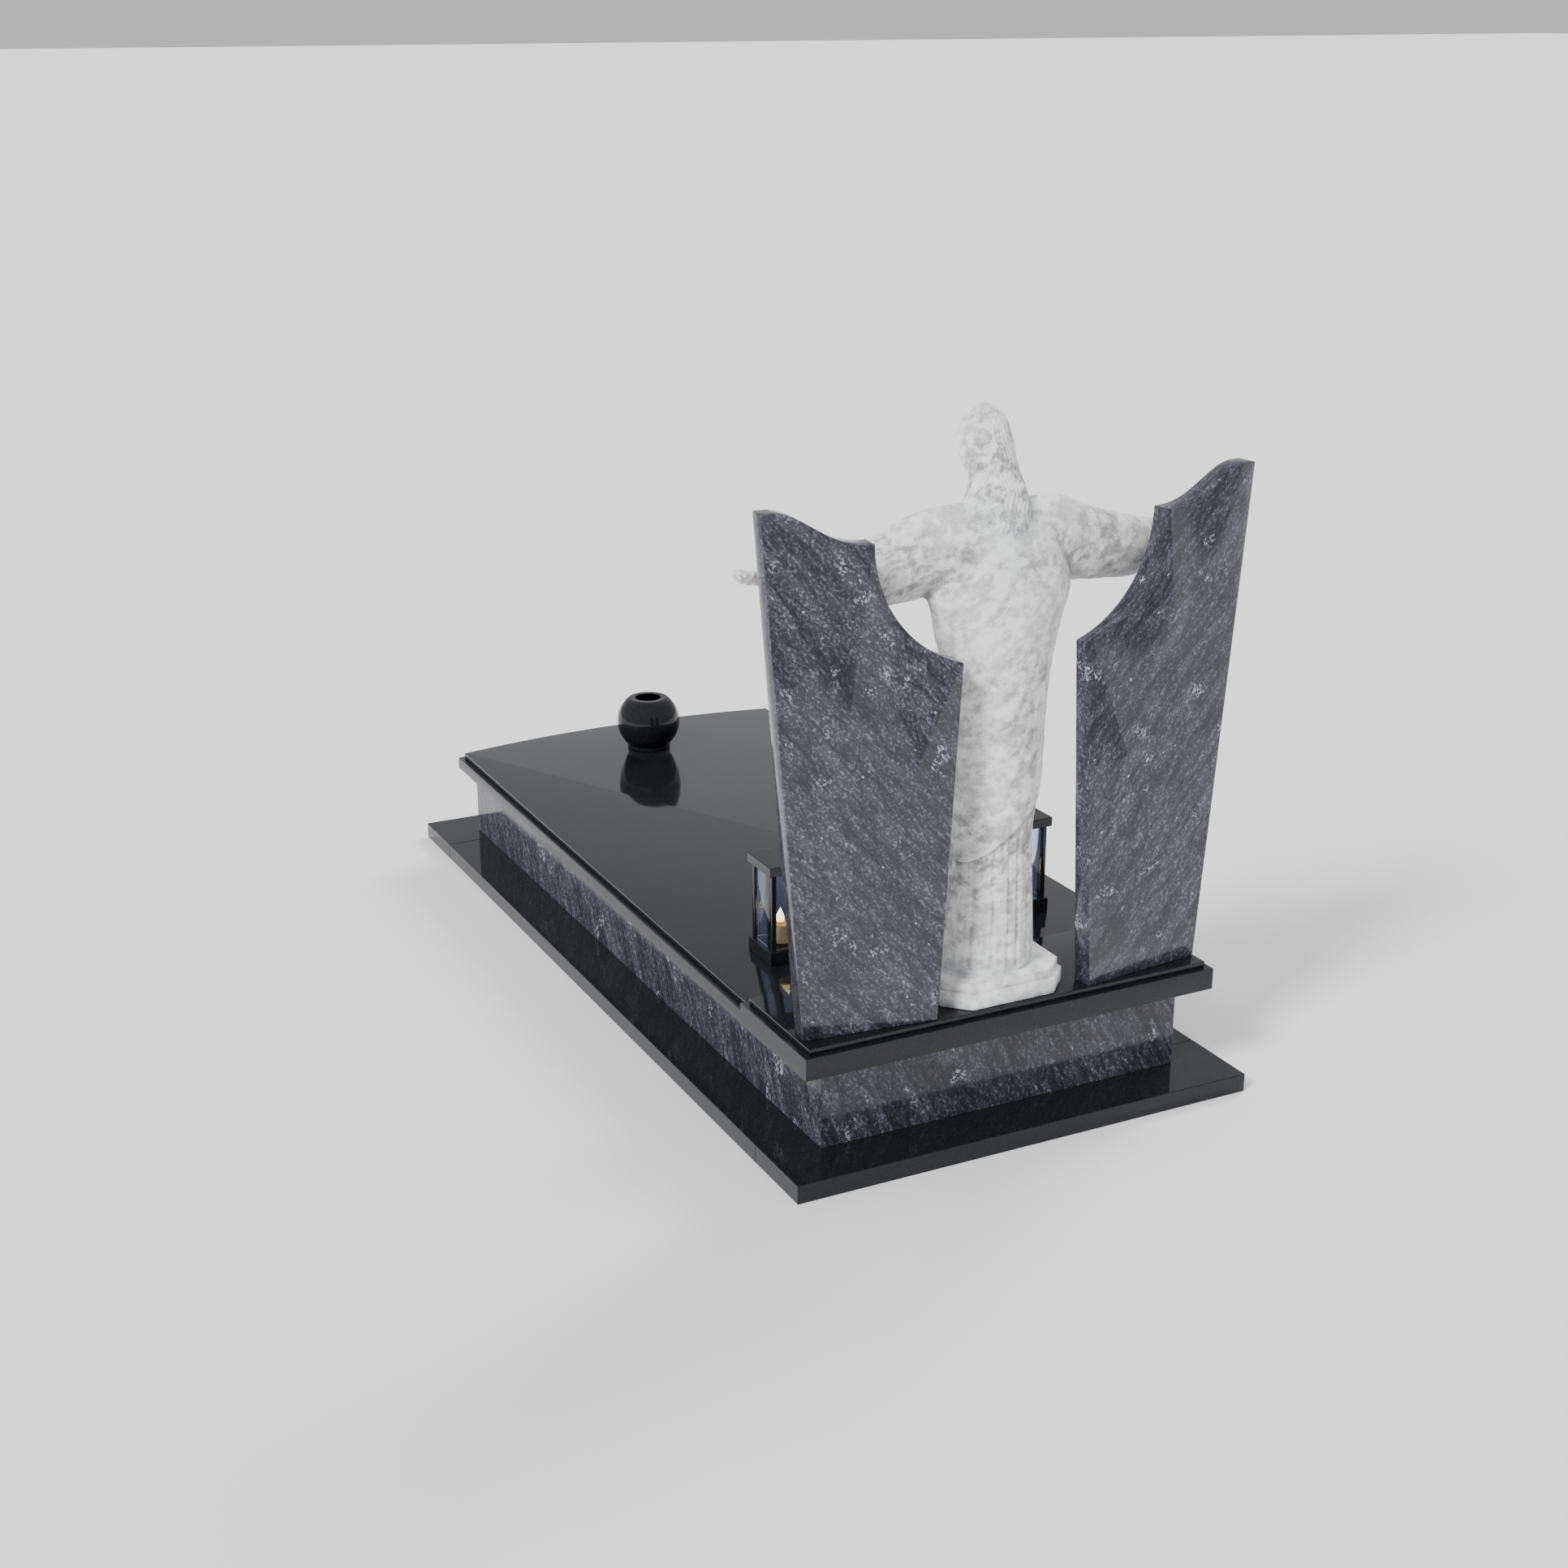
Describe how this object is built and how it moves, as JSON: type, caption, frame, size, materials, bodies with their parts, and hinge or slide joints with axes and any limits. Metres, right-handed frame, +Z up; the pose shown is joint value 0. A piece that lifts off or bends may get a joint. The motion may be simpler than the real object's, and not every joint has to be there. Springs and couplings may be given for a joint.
{
  "type": "gravestone with christ statue",
  "caption": "Polished granite grave with a raised frame, a bowed cover slab, speckled tablets with curved tops and a white marble statue of Christ with open arms.",
  "frame": {"origin": "centre of the base's underside", "axes": "+Z up, the foot end and the statue's face at -Y, the head end with the tablets at +Y"},
  "size_m": [1.036, 2.112, 1.3776],
  "materials": {
    "black_granite": "black granite, polished to a mirror",
    "blue_granite": "dark blue-grey granite with pale specks in slanting streaks, polished",
    "white_marble": "white marble with soft grey mottling, rubbed smooth",
    "lantern_glass": "clear glass, faintly blue",
    "candle_wax": "honey-coloured wax"
  },
  "bodies": {
    "root": {"base_strip_head": "black_granite", "base_strip_foot": "black_granite", "base_strip_left": "black_granite", "base_strip_right": "black_granite", "head_slab": "black_granite", "cover_slab": "black_granite", "vase": "black_granite", "frame_wall_head": "blue_granite", "frame_wall_foot": "blue_granite", "frame_wall_left": "blue_granite", "frame_wall_right": "blue_granite", "tablet_left": "blue_granite", "tablet_right": "blue_granite", "christ_statue": "white_marble", "lantern_left_floor": "black_granite", "lantern_left_roof": "black_granite", "lantern_left_post_front_left": "black_granite", "lantern_left_post_rear_left": "black_granite", "lantern_left_post_rear_right": "black_granite", "lantern_left_post_front_right": "black_granite", "lantern_left_glass_front": "lantern_glass", "lantern_left_glass_rear": "lantern_glass", "lantern_left_glass_left": "lantern_glass", "lantern_left_glass_right": "lantern_glass", "lantern_left_candle": "candle_wax", "lantern_right_floor": "black_granite", "lantern_right_roof": "black_granite", "lantern_right_post_front_left": "black_granite", "lantern_right_post_rear_left": "black_granite", "lantern_right_post_rear_right": "black_granite", "lantern_right_post_front_right": "black_granite", "lantern_right_glass_front": "lantern_glass", "lantern_right_glass_rear": "lantern_glass", "lantern_right_glass_left": "lantern_glass", "lantern_right_glass_right": "lantern_glass", "lantern_right_candle": "candle_wax"}
  },
  "joints": []
}
